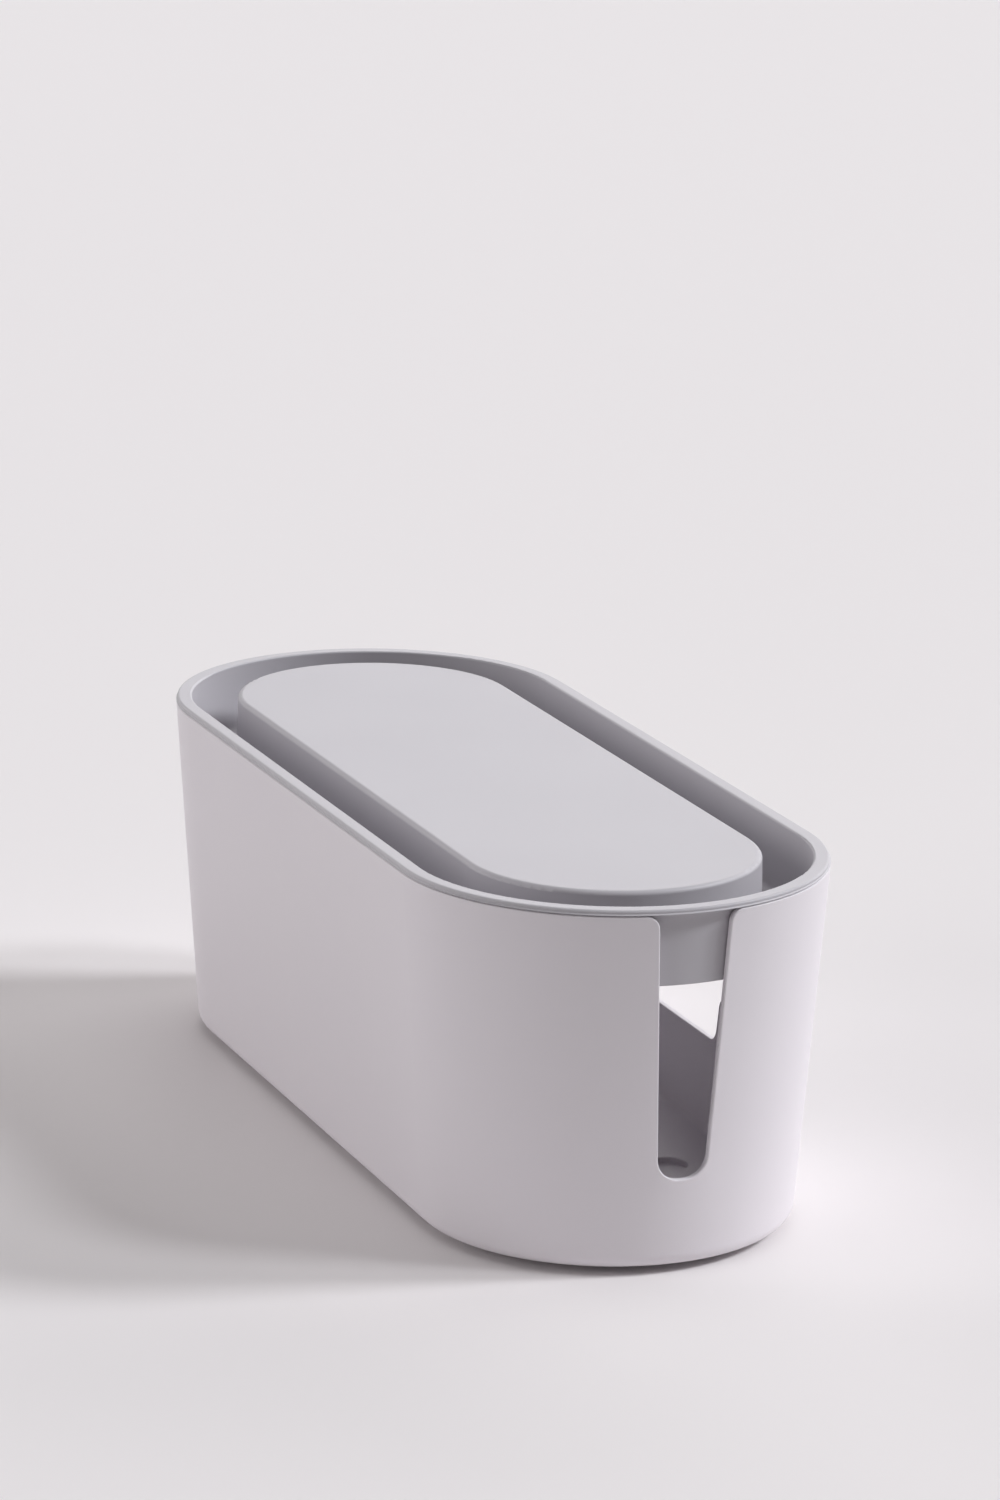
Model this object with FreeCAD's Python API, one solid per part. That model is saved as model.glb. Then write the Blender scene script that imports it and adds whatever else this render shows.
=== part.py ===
import FreeCAD, Part
import math
import os

# A cable management box: a capsule-shaped tub that hides a power strip, with a lift-off lid.
# +X runs along the box towards the end slot that faces the viewer, +Y towards the back with the
# wide cable opening, +Z up. The origin is on the table, under the middle of the box.
# All lengths are in millimetres, all angles in degrees.

# Tub: plan and height
BOX_LENGTH = 389.2
BOX_WIDTH = 155.0
BODY_HEIGHT = 129.5
DRAFT_ANGLE = 4.18
WALL = 2.5
FLOOR_THICKNESS = 2.5
BOTTOM_RADIUS = 5.2

# End slots, open at the top edge, one in each round end
SLOT_BOTTOM_WIDTH = 17.9
SLOT_BOTTOM_HEIGHT = 32.5
SLOT_CORNER_RADIUS = 8.3
SLOT_SLANT_ANGLE = 2.6
FLARE_RADIUS = 4.8

# Back opening: a wide upper part down to a ledge, and a deeper notch in its middle
BACK_OPENING_WIDTH = 166.0
BACK_LEDGE_HEIGHT = 54.5
BACK_LEDGE_RADIUS = 4.5
BACK_NOTCH_WIDTH = 119.6
BACK_SILL_HEIGHT = 36.8
BACK_CORNER_RADIUS = 5.0

# Softened edges of the top edge and of every cut through the wall, limited by the wall
EDGE_RADIUS = 0.5
EDGE_WALL_SHARE = 0.4

# Lid: a lip on the tub's top edge, a moat inside it, and a raised middle level with the lip.
# The lip's side is set in a little, and its foot flares out to the tub's face over a narrow open seam.
LIP_HEIGHT = 2.2
RIM_WALL = 2.9
SKIRT_CLEARANCE = 0.6
SKIRT_DROP = 26.3
LID_WALL = 2.5
MOAT_WIDTH = 18.0
PLATEAU_DRAFT_ANGLE = 1.0
PLATEAU_EDGE_RADIUS = 1.8
MOAT_CORNER_RADIUS = 2.5
LIP_INNER_RADIUS = 0.7
LIP_OUTER_RADIUS = 0.9
LIP_SET_IN = 0.4
LIP_LAND = 0.15
SEAM_GAP = 0.35
SEAM_DEPTH = 1.2
SKIRT_EDGE_RADIUS = 0.8

# Feet: a round dish pressed down out of the floor, with a soft pad let into its underside
FOOT_SPACING_LONG = 179.6
FOOT_SPACING_ACROSS = 74.4
DISH_RADIUS = 7.5
DISH_FLOOR = 2.0
DISH_EDGE_RADIUS = 0.5
FOOT_DROP = 1.7
FOOT_RIM = 1.8
FOOT_EDGE_RADIUS = 0.5
PAD_RADIUS = 7.0
PAD_THICKNESS = 1.3
PAD_SEAT_DEPTH = 0.5
PAD_CLEARANCE = 0.15
PAD_EDGE_RADIUS = 0.4

# How far a cutting shape runs past the surface that it cuts
OVERRUN = 6.0

# Turns in degrees, distances that count as touching and as lying on a face, and the cosine of the
# angle between two faces above which their edge counts as smooth
HALF_TURN = 180.0
FULL_TURN = 360.0
TOUCHING = 1e-6
ON_FACE = 1e-3
SMOOTH_COSINE = 0.9

UP = FreeCAD.Vector(0, 0, 1)
ORIGIN = FreeCAD.Vector(0, 0, 0)
ALONG = FreeCAD.Vector(1, 0, 0)
ACROSS = FreeCAD.Vector(0, 1, 0)

# Levels above the table
UNDERSIDE = FOOT_DROP + PAD_THICKNESS - PAD_SEAT_DEPTH
FLOOR_TOP = UNDERSIDE + FLOOR_THICKNESS
BODY_TOP = UNDERSIDE + BODY_HEIGHT
RIM_TOP = BODY_TOP + LIP_HEIGHT
SKIRT_END = BODY_TOP - SKIRT_DROP
MOAT_FLOOR = SKIRT_END + LID_WALL

# Distances from the middle line, which are also radii about the centre of each round end
HALF_WIDTH = BOX_WIDTH / 2
HALF_STRAIGHT = (BOX_LENGTH - BOX_WIDTH) / 2
WALL_LEAN = math.tan(math.radians(DRAFT_ANGLE))
CUT_LEAN = math.tan(math.radians(SLOT_SLANT_ANGLE))


def wall_outside(level):
    """Distance of the tub's outer face from the middle line at a level above the table."""
    return HALF_WIDTH - (BODY_TOP - level) * WALL_LEAN


def wall_inside(level):
    """Distance of the tub's inner face from the middle line at a level above the table."""
    return wall_outside(level) - WALL


def skirt_outside(level):
    """The lid's skirt follows the tub's inner face, with the clearance between them."""
    return wall_inside(level) - SKIRT_CLEARANCE


def rounded_wire(corners, place):
    """Closed wire through corners of (u, v, radius), with an arc tangent to both sides at each radius.

    place turns u and v into a point in space."""
    turns = []
    for index, (u, v, radius) in enumerate(corners):
        here = place(u, v)
        if radius == 0:
            turns.append((here, None, here))
            continue
        last_u, last_v, _ = corners[index - 1]
        next_u, next_v, _ = corners[(index + 1) % len(corners)]
        back = (place(last_u, last_v) - here).normalize()
        ahead = (place(next_u, next_v) - here).normalize()
        half_angle = back.getAngle(ahead) / 2
        reach = radius / math.tan(half_angle)
        middle_way = (back + ahead).normalize()
        middle = here + middle_way * (radius / math.sin(half_angle) - radius)
        turns.append((here + back * reach, middle, here + ahead * reach))
    edges = []
    for index, (start, middle, end) in enumerate(turns):
        if middle is not None:
            edges.append(Part.Arc(start, middle, end).toShape())
        following = turns[(index + 1) % len(turns)][0]
        if (following - end).Length > TOUCHING:
            edges.append(Part.makeLine(end, following))
    return Part.Wire(edges)


def capsule_solid(section):
    """Carry an upright section, of distances from the middle line and levels, round the capsule plan.

    It is turned about the centre of each round end and drawn straight between them."""
    face = Part.Face(rounded_wire(section, lambda out, level: FreeCAD.Vector(HALF_STRAIGHT, out, level)))
    right_end = face.revolve(ALONG * HALF_STRAIGHT, UP, -HALF_TURN)
    back_side = face.extrude(ALONG * (-2 * HALF_STRAIGHT))
    left_end = right_end.mirror(ORIGIN, ALONG)
    front_side = back_side.mirror(ORIGIN, ACROSS)
    return right_end.fuse([back_side, left_end, front_side]).removeSplitter()


def turned_solid(section, x, y):
    """Turn a section, of radii and levels, about an upright axis at x and y."""
    face = Part.Face(rounded_wire(section, lambda out, level: FreeCAD.Vector(x + out, y, level)))
    return face.revolve(FreeCAD.Vector(x, y, 0), UP, FULL_TURN)


def foot_places():
    """Name and place of each foot: front and back along Y, left and right along X."""
    places = []
    for depth_name, depth in (("front", -1), ("back", 1)):
        for side_name, side in (("left", -1), ("right", 1)):
            name = f"foot_pad_{depth_name}_{side_name}"
            places.append((name, side * FOOT_SPACING_LONG / 2, depth * FOOT_SPACING_ACROSS / 2))
    return places


def tub_shell():
    """The tub without its openings: leaning walls, a rounded bottom edge and a flat floor."""
    inner_radius = max(BOTTOM_RADIUS - WALL, WALL)
    return capsule_solid([
        (0, UNDERSIDE, 0),
        (wall_outside(UNDERSIDE), UNDERSIDE, BOTTOM_RADIUS),
        (wall_outside(BODY_TOP), BODY_TOP, 0),
        (wall_inside(BODY_TOP), BODY_TOP, 0),
        (wall_inside(FLOOR_TOP), FLOOR_TOP, inner_radius),
        (0, FLOOR_TOP, 0),
    ])


def end_slot_cutter():
    """A prism through the right end wall, with slanting sides and a round bottom."""
    bottom = UNDERSIDE + SLOT_BOTTOM_HEIGHT
    above = BODY_TOP + OVERRUN
    half_bottom = SLOT_BOTTOM_WIDTH / 2
    half_above = half_bottom + (above - bottom) * CUT_LEAN
    start = HALF_STRAIGHT + wall_inside(bottom) - OVERRUN
    corners = [
        (half_above, above, 0),
        (half_bottom, bottom, SLOT_CORNER_RADIUS),
        (-half_bottom, bottom, SLOT_CORNER_RADIUS),
        (-half_above, above, 0),
    ]
    face = Part.Face(rounded_wire(corners, lambda across, level: FreeCAD.Vector(start, across, level)))
    return face.extrude(ALONG * (BOX_LENGTH / 2 + OVERRUN - start))


def back_opening_cutter():
    """A prism through the back wall: a wide opening from the top edge, with a deeper notch in it."""
    sill = UNDERSIDE + BACK_SILL_HEIGHT
    ledge = UNDERSIDE + BACK_LEDGE_HEIGHT
    above = BODY_TOP + OVERRUN
    half_sill = BACK_NOTCH_WIDTH / 2
    half_notch = half_sill + (ledge - sill) * CUT_LEAN
    half_ledge = BACK_OPENING_WIDTH / 2
    half_above = half_ledge + (above - ledge) * CUT_LEAN
    start = wall_inside(sill) - OVERRUN
    right_half = [
        (half_above, above, 0),
        (half_ledge, ledge, BACK_CORNER_RADIUS),
        (half_notch, ledge, BACK_LEDGE_RADIUS),
        (half_sill, sill, BACK_CORNER_RADIUS),
    ]
    left_half = [(-along, level, radius) for along, level, radius in reversed(right_half)]
    wire = rounded_wire(right_half + left_half, lambda along, level: FreeCAD.Vector(along, start, level))
    return Part.Face(wire).extrude(ACROSS * (HALF_WIDTH + OVERRUN - start))


def distance_out(point):
    """Distance of a point from the middle line or, past its ends, from the centre of the round end."""
    return math.hypot(max(abs(point.x) - HALF_STRAIGHT, 0), point.y)


def crosses_top_edge(edge):
    """Whether an edge runs across the tub's top edge, from the wall's inner to its outer face."""
    ends = [vertex.Point for vertex in edge.Vertexes]
    if any(abs(end.z - BODY_TOP) > ON_FACE for end in ends):
        return False
    return abs(distance_out(ends[0]) - distance_out(ends[-1])) > WALL / 2


def is_sharp_wall_edge(body, edge):
    """Whether an edge bounds the wall's outer or inner face, and the faces beside it meet at a corner."""
    middle = edge.valueAt((edge.FirstParameter + edge.LastParameter) / 2)
    off_outside = abs(distance_out(middle) - wall_outside(middle.z))
    off_inside = abs(distance_out(middle) - wall_inside(middle.z))
    if min(off_outside, off_inside) > ON_FACE:
        return False
    beside = body.ancestorsOfType(edge, Part.Face)
    normals = [face.normalAt(*face.Surface.parameter(middle)) for face in beside]
    return len(normals) == 2 and abs(normals[0].dot(normals[1])) < SMOOTH_COSINE


def softened(body):
    """Flare the top corners of each cut, then round the edges of the rim and of the cuts."""
    corners = [edge for edge in body.Edges if crosses_top_edge(edge)]
    flared = body.makeFillet(FLARE_RADIUS, corners)
    sharp = [edge for edge in flared.Edges if is_sharp_wall_edge(flared, edge)]
    return flared.makeFillet(min(EDGE_RADIUS, WALL * EDGE_WALL_SHARE), sharp)


def moulded_foot(x, y):
    """The round foot under the floor, which the dish above it is pressed into."""
    radius = PAD_RADIUS + PAD_CLEARANCE + FOOT_RIM
    return turned_solid([
        (0, UNDERSIDE - FOOT_DROP, 0),
        (radius, UNDERSIDE - FOOT_DROP, FOOT_EDGE_RADIUS),
        (radius, FLOOR_TOP, 0),
        (0, FLOOR_TOP, 0),
    ], x, y)


def dish_cutter(x, y):
    """The dish seen inside the tub, over each foot."""
    bottom = UNDERSIDE - FOOT_DROP + DISH_FLOOR
    return turned_solid([
        (0, bottom, 0),
        (DISH_RADIUS, bottom, DISH_EDGE_RADIUS),
        (DISH_RADIUS, FLOOR_TOP, DISH_EDGE_RADIUS),
        (DISH_RADIUS + 2 * DISH_EDGE_RADIUS, FLOOR_TOP, 0),
        (DISH_RADIUS + 2 * DISH_EDGE_RADIUS, FLOOR_TOP + OVERRUN, 0),
        (0, FLOOR_TOP + OVERRUN, 0),
    ], x, y)


def pad_seat_cutter(x, y):
    """The shallow round seat that a pad is glued into."""
    floor_of_foot = UNDERSIDE - FOOT_DROP
    height = PAD_SEAT_DEPTH + OVERRUN
    corner = FreeCAD.Vector(x, y, floor_of_foot - OVERRUN)
    return Part.makeCylinder(PAD_RADIUS + PAD_CLEARANCE, height, corner, UP)


def box_body():
    """The tub: one white moulding, with two end slots, the back opening, four feet and their dishes."""
    right_slot = end_slot_cutter()
    left_slot = right_slot.mirror(ORIGIN, ALONG)
    body = tub_shell().cut([right_slot, left_slot, back_opening_cutter()])
    body = softened(body.removeSplitter())
    for _, x, y in foot_places():
        body = body.fuse(moulded_foot(x, y)).removeSplitter()
        body = body.cut([dish_cutter(x, y), pad_seat_cutter(x, y)])
    return body


def lid():
    """The lid: one grey moulding, from the raised middle through the moat to the lip on the tub.

    The lip rests on the inner part of the tub's top edge; over the outer part the seam stays open."""
    lip_inside = skirt_outside(BODY_TOP) - RIM_WALL
    lip_side = HALF_WIDTH - LIP_SET_IN
    seam_top = BODY_TOP + SEAM_GAP
    seam_end = HALF_WIDTH - SEAM_DEPTH
    plateau_outside = lip_inside - MOAT_WIDTH
    plateau_lean = math.tan(math.radians(PLATEAU_DRAFT_ANGLE))
    plateau_foot = plateau_outside + (RIM_TOP - MOAT_FLOOR) * plateau_lean
    hollow_top = plateau_outside - LID_WALL
    hollow_foot = plateau_foot - LID_WALL
    ceiling = RIM_TOP - LID_WALL
    return capsule_solid([
        (0, RIM_TOP, 0),
        (plateau_outside, RIM_TOP, PLATEAU_EDGE_RADIUS),
        (plateau_foot, MOAT_FLOOR, MOAT_CORNER_RADIUS),
        (skirt_outside(MOAT_FLOOR) - LID_WALL, MOAT_FLOOR, MOAT_CORNER_RADIUS),
        (lip_inside, RIM_TOP, LIP_INNER_RADIUS),
        (lip_side, RIM_TOP, LIP_OUTER_RADIUS),
        (lip_side, seam_top + LIP_LAND + LIP_SET_IN, 0),
        (HALF_WIDTH, seam_top + LIP_LAND, 0),
        (HALF_WIDTH, seam_top, 0),
        (seam_end, seam_top, 0),
        (seam_end, BODY_TOP, 0),
        (skirt_outside(BODY_TOP), BODY_TOP, 0),
        (skirt_outside(SKIRT_END), SKIRT_END, SKIRT_EDGE_RADIUS),
        (hollow_foot, SKIRT_END, SKIRT_EDGE_RADIUS),
        (hollow_top, ceiling, PLATEAU_EDGE_RADIUS),
        (0, ceiling, 0),
    ])


def foot_pad(x, y):
    """A soft round pad, glued up into the foot's seat; its rounded lower edge is what touches the table."""
    return turned_solid([
        (0, 0, 0),
        (PAD_RADIUS, 0, PAD_EDGE_RADIUS),
        (PAD_RADIUS, PAD_THICKNESS, 0),
        (0, PAD_THICKNESS, 0),
    ], x, y)


def main():
    os.makedirs("parts", exist_ok=True)
    pieces = {"box_body": box_body(), "lid": lid()}
    for name, x, y in foot_places():
        pieces[name] = foot_pad(x, y)
    for name, solid in pieces.items():
        solid.exportStep(f"parts/{name}.step")
        print(name, "volume", round(solid.Volume), "solids", len(solid.Solids), "valid", solid.isValid())


main()
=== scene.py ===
import math

import bpy
import numpy as np
from mathutils import Matrix, Vector

# A cable management box: a white moulded tub, its light grey lift-off lid and four soft foot pads.
# Lengths are in metres: +X runs along the box to the end slot that faces the viewer, +Y towards
# the back with the wide cable opening, +Z up, and the table is at zero.
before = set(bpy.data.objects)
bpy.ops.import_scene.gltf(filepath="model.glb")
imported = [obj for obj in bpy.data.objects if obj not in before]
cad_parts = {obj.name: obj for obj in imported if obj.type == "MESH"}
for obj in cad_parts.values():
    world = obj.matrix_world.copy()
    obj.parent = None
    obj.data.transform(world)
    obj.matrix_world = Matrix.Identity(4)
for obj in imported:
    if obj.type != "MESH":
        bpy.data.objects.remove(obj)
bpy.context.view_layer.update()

MILLIMETRE = 0.001

# How the mouldings' colour and gloss drift: over about 70 mm, as the plastic flowed and cooled, with
# two finer layers of noise, and by how much in roughness
FLOW_DRIFT = 70 * MILLIMETRE
FLOW_DETAIL = 2.0
GLOSS_DRIFT = 0.03

# The grain of a spark-eroded mould is some 0.02 mm wide, too fine to show here, so each finish below
# draws its grain about 1 mm wide and shallow, with three finer layers of noise
GRAIN_DETAIL = 3.0

ABS_IOR = 1.54
SILICONE_IOR = 1.41

# The photograph's height, and the focal length of its lens, both in its pixels
PHOTO_HEIGHT = 1500
FOCAL_PIXELS = 5560.3
SENSOR_HEIGHT = 36.0

# Where the photograph was taken from: angles in degrees, distance and target in metres
CAMERA_AZIMUTH = 68.038
CAMERA_ELEVATION = 14.586
CAMERA_ROLL = 1.048
CAMERA_DISTANCE = 2.0492
CAMERA_TARGET = (0.00427, 0.00333, 0.14183)

# The round sheet under the box, the floor round it, which ends out of sight, and how many corners
# draw their rims
SHEET_RADIUS = 0.9
FLOOR_RADIUS = 14.0
FLOOR_CORNERS = 128
FLOOR_ROUGHNESS = 0.9

# The studio's colours
FLOOR_HEX = "F1EDED"
BACKDROP_HEX = "E6E5E5"
WINDOW_HEX = "F9FBFF"
BOUNCE_HEX = "FFFDFE"

# The studio's soft lights: azimuth from +X to +Y, elevation and angular width, all in degrees,
# then strength and colour
LIGHTS = {
    "key": (74, 36, 10, 0.476, WINDOW_HEX),
    "key_above": (56, 46, 10, 0.231, WINDOW_HEX),
    "back_wall": (115, 18, 40, 0.244, BOUNCE_HEX),
    "backdrop": (150, 25, 30, 0.125, BOUNCE_HEX),
    "left_wall": (215, 15, 40, 0.220, BOUNCE_HEX),
    "front_fill": (270, 15, 40, 0.201, BOUNCE_HEX),
    "ceiling": (0, 85, 50, 0.200, BOUNCE_HEX),
}


def linear(hex_colour):
    """Linear colour, with alpha, of an sRGB hex value."""
    channels = [int(hex_colour[start:start + 2], 16) / 255 for start in (0, 2, 4)]
    return [c / 12.92 if c <= 0.04045 else ((c + 0.055) / 1.055) ** 2.4 for c in channels] + [1.0]


def add_node(tree, kind, settings, inputs):
    """Add a node with its own options; each input, by its identifier, gets a value or a link."""
    node = tree.nodes.new(kind)
    for name, value in settings.items():
        setattr(node, name, value)
    for socket in node.inputs:
        value = inputs.get(socket.identifier)
        if isinstance(value, bpy.types.NodeSocket):
            tree.links.new(value, socket)
        elif value is not None:
            socket.default_value = value
    return node


def direction(azimuth, elevation):
    """Unit vector towards a place in the sky, from its azimuth from +X to +Y and its elevation."""
    turn, lift = math.radians(azimuth), math.radians(elevation)
    return Vector((math.cos(turn) * math.cos(lift), math.sin(turn) * math.cos(lift), math.sin(lift)))


def moulding(name, colours, roughness, ior, grain, grain_depth):
    """A moulded finish: fine grain, with a colour and a gloss that drift a little over the moulding."""
    material = bpy.data.materials.new(name)
    material.use_nodes = True
    tree = material.node_tree
    shader = tree.nodes["Principled BSDF"]
    place = add_node(tree, "ShaderNodeTexCoord", {}, {}).outputs["Object"]
    drift = add_node(tree, "ShaderNodeTexNoise", {}, {
        "Vector": place, "Scale": 1 / FLOW_DRIFT, "Detail": FLOW_DETAIL}).outputs["Fac"]
    tint = add_node(tree, "ShaderNodeMix", {"data_type": "RGBA"}, {
        "Factor_Float": drift, "A_Color": linear(colours[0]), "B_Color": linear(colours[1])})
    tree.links.new(tint.outputs["Result"], shader.inputs["Base Color"])
    sheen = add_node(tree, "ShaderNodeMapRange", {}, {
        "Value": drift, "To Min": roughness - GLOSS_DRIFT, "To Max": roughness + GLOSS_DRIFT})
    tree.links.new(sheen.outputs["Result"], shader.inputs["Roughness"])
    pits = add_node(tree, "ShaderNodeTexNoise", {}, {
        "Vector": place, "Scale": 1 / grain, "Detail": GRAIN_DETAIL}).outputs["Fac"]
    relief = add_node(tree, "ShaderNodeBump", {}, {"Distance": grain_depth, "Height": pits})
    tree.links.new(relief.outputs["Normal"], shader.inputs["Normal"])
    shader.inputs["IOR"].default_value = ior
    return material


def put_material(nodes, material):
    """Give the named pieces of the box a finish."""
    for name in nodes:
        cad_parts[name].material_slots[0].material = material


def lay_floor_piece(name, radii, faces, material):
    """A flat piece of the floor. Its points are a grid of radii r and turns t round the box, each at
    (r cos t, r sin t) on the table, and its faces join them by their numbers."""
    turns = np.linspace(0, 2 * np.pi, FLOOR_CORNERS, endpoint=False)
    r, t = np.meshgrid(radii, turns, indexing="ij")
    points = np.stack([r * np.cos(t), r * np.sin(t), np.zeros_like(r)], axis=-1).reshape(-1, 3)
    mesh = bpy.data.meshes.new(name)
    mesh.from_pydata(points.tolist(), [], faces.tolist())
    mesh.materials.append(material)
    piece = bpy.data.objects.new(name, mesh)
    bpy.context.scene.collection.objects.link(piece)
    return piece


def lay_floor():
    """A pale round sheet under the box, and a floor of the same colour all round it."""
    # Uncoated paper: pale and dull all over, so that only the box's shadow marks it
    material = bpy.data.materials.new("matte_paper_sheet")
    material.use_nodes = True
    shader = material.node_tree.nodes["Principled BSDF"]
    shader.inputs["Base Color"].default_value = linear(FLOOR_HEX)
    shader.inputs["Roughness"].default_value = FLOOR_ROUGHNESS
    inner = np.arange(FLOOR_CORNERS)
    outer = inner + FLOOR_CORNERS
    lay_floor_piece("sheet", [SHEET_RADIUS], inner[np.newaxis], material)
    strips = np.stack([inner, outer, np.roll(outer, -1), np.roll(inner, -1)], axis=-1)
    surround = lay_floor_piece("surround", [SHEET_RADIUS, FLOOR_RADIUS], strips, material)
    # The room beyond the sheet is dim: the camera sees it pale, but it throws no light up at the box
    surround.visible_diffuse = False


def hang_light(name, azimuth, elevation, width, strength, hex_colour):
    """A large soft light far away; at a strength of 1 a white sheet that faces it renders white."""
    lamp = bpy.data.lights.new(name, "SUN")
    lamp.angle = math.radians(width)
    lamp.energy = strength * math.pi
    lamp.color = linear(hex_colour)[:3]
    holder = bpy.data.objects.new(name, lamp)
    holder.rotation_mode = "QUATERNION"
    holder.rotation_quaternion = (-direction(azimuth, elevation)).to_track_quat("-Z", "Y")
    bpy.context.scene.collection.objects.link(holder)


def light_world():
    """A dark room whose pale backdrop only the camera, gloss and clear things see."""
    world = bpy.data.worlds.new("studio")
    bpy.context.scene.world = world
    world.use_nodes = True
    tree = world.node_tree
    rays = add_node(tree, "ShaderNodeLightPath", {}, {}).outputs
    seen = rays["Is Camera Ray"]
    for other in ("Is Glossy Ray", "Is Transmission Ray"):
        seen = add_node(tree, "ShaderNodeMath", {"operation": "MAXIMUM"}, {
            "Value": seen, "Value_001": rays[other]}).outputs["Value"]
    background = tree.nodes["Background"]
    background.inputs["Color"].default_value = linear(BACKDROP_HEX)
    tree.links.new(seen, background.inputs["Strength"])


def place_camera():
    """Stand the camera where the photograph was taken, turned and rolled as it was."""
    turn, lift, tilt = (math.radians(v) for v in (CAMERA_AZIMUTH, CAMERA_ELEVATION, CAMERA_ROLL))
    back = Vector((math.sin(turn) * math.cos(lift), -math.cos(turn) * math.cos(lift), math.sin(lift)))
    level = Vector((math.cos(turn), math.sin(turn), 0))
    right = level * math.cos(tilt) + back.cross(level) * math.sin(tilt)
    up = back.cross(right)
    camera_data = bpy.data.cameras.new("camera")
    # Blender's sensor width lies along the longer side of the frame, which here is its height
    camera_data.sensor_width = SENSOR_HEIGHT
    camera_data.lens = FOCAL_PIXELS / PHOTO_HEIGHT * SENSOR_HEIGHT
    camera = bpy.data.objects.new("camera", camera_data)
    camera.matrix_world = Matrix((right, up, back)).transposed().to_4x4()
    camera.location = Vector(CAMERA_TARGET) + back * CAMERA_DISTANCE
    bpy.context.scene.collection.objects.link(camera)
    bpy.context.scene.camera = camera


# White ABS out of a finely spark-eroded mould: an even satin white with no glint, whose edges catch
# a thin soft line of light
tub = moulding(
    "white_abs_fine_spark_erosion", colours=("EFEAEE", "EDE8ED"), roughness=0.5, ior=ABS_IOR,
    grain=0.9 * MILLIMETRE, grain_depth=0.01 * MILLIMETRE)
# Light grey ABS out of a coarser spark-eroded mould: drier to the eye than the tub, with a faint
# mottle
lid = moulding(
    "grey_abs_spark_erosion", colours=("C2BFC4", "C0BDC2"), roughness=0.5, ior=ABS_IOR,
    grain=1.1 * MILLIMETRE, grain_depth=0.02 * MILLIMETRE)
# Cast silicone rubber: dull and a little waxy, darker than the tub in the gap under it
pad = moulding(
    "grey_silicone_cast", colours=("8E8D90", "88878A"), roughness=0.6, ior=SILICONE_IOR,
    grain=0.6 * MILLIMETRE, grain_depth=0.01 * MILLIMETRE)
put_material(["box_body"], tub)
put_material(["lid"], lid)
put_material([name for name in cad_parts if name.startswith("foot_pad")], pad)
lay_floor()
light_world()
for name, values in LIGHTS.items():
    hang_light(name, *values)
place_camera()

scene = bpy.context.scene
scene.view_settings.view_transform = "Standard"
